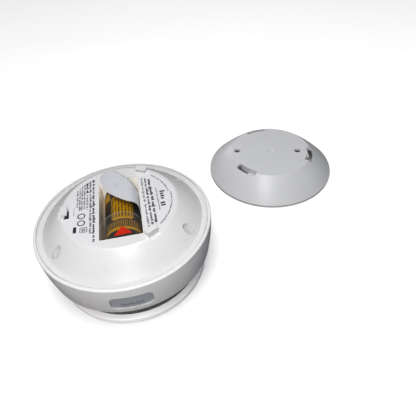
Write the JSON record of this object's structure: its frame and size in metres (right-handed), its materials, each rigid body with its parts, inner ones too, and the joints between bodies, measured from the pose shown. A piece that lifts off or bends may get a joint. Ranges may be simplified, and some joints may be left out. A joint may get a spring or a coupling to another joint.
{
  "type": "smoke alarm",
  "caption": "Round battery smoke alarm lying on its nose, with its bayonet mounting bracket beside it.",
  "frame": {"origin": "centre of the flat nose face, on the alarm's axis, on the surface the alarm stands on", "axes": "+Z out of the back, towards the ceiling in use; -Y towards the test button; the battery bay runs along Y"},
  "size_m": [0.1734, 0.1397, 0.0447],
  "materials": {
    "shell_white": "smooth satin moulding",
    "nose_white": "smooth satin moulding",
    "grille_grey": "fine moulded bars",
    "cover_white": "fine matte moulding",
    "label_paper": "printed paper label",
    "screw_steel": "zinc plated",
    "button_grey": "translucent satin",
    "switch_black": "moulded",
    "switch_stem": "moulded",
    "cell_sleeve": "shrink sleeve with an amber print",
    "nickel": "nickel plated",
    "contact_steel": "nickel plated spring steel",
    "clear_film": "clear film",
    "arrow_red": "printed",
    "leaf_white": "translucent white film",
    "board_green": "solder mask",
    "chip_black": "moulded epoxy",
    "coil_black": "ferrite",
    "capacitor_can": "can",
    "led_clear": "clear epoxy",
    "chamber_black": "matte black moulding",
    "mesh_steel": "perforated sheet",
    "sounder_black": "moulded",
    "piezo_brass": "rolled",
    "ceramic_white": "silvered ceramic",
    "bracket_white": "fine matte moulding"
  },
  "bodies": {
    "alarm": {"outer_shell": "shell_white", "nose_cap": "nose_white", "inlet_grille": "grille_grey", "back_cover": "cover_white", "label_left": "label_paper", "label_right": "label_paper", "housing_screws": "screw_steel", "screw_plugs": "cover_white", "tact_switch": "switch_black", "contact_negative": "contact_steel", "contact_positive": "contact_steel", "circuit_board": "board_green", "control_chip": "chip_black", "boost_coil": "coil_black", "reservoir_capacitor": "capacitor_can", "status_led": "led_clear", "chamber_base": "chamber_black", "chamber_cover": "chamber_black", "insect_mesh": "mesh_steel", "ir_emitter": "led_clear", "photodiode": "chip_black", "sounder_housing": "sounder_black", "piezo_disc": "piezo_brass", "piezo_ceramic": "ceramic_white", "sounder_pins": "contact_steel"},
    "battery": {"battery_cell": "cell_sleeve", "battery_positive_cap": "nickel"},
    "pull_tab": {"pull_tab_film": "clear_film", "pull_tab_arrow": "arrow_red", "pull_tab_leaf": "leaf_white"},
    "button": {"test_button": "button_grey"},
    "plunger": {"switch_plunger": "switch_stem"},
    "bracket": {"mounting_bracket": "bracket_white"}
  },
  "joints": [
    {"name": "test_button_press", "type": "slide", "parent": "alarm", "child": "button", "axis": [0, 1, 0], "range_m": [0, 0.0006], "stiffness_N_per_m": 800, "springref_m": -0.0004},
    {"name": "switch_plunger_press", "type": "slide", "parent": "alarm", "child": "plunger", "axis": [0, 1, 0], "range_m": [0, 0.0006]},
    {"name": "battery_lift", "type": "slide", "parent": "alarm", "child": "battery", "axis": [0, 0, 1], "range_m": [0, 0.03]},
    {"name": "pull_tab_lift", "type": "slide", "parent": "battery", "child": "pull_tab", "axis": [0, 0, 1], "range_m": [0, 0.025]},
    {"name": "bracket_carry", "type": "slide", "parent": "alarm", "child": "bracket", "axis": [-0.5271, -0.3353, 0.7809], "range_m": [0, 0.17568]}
  ],
  "couplings": [
    {"joint": "switch_plunger_press", "follows": "test_button_press", "ratio": 1}
  ]
}
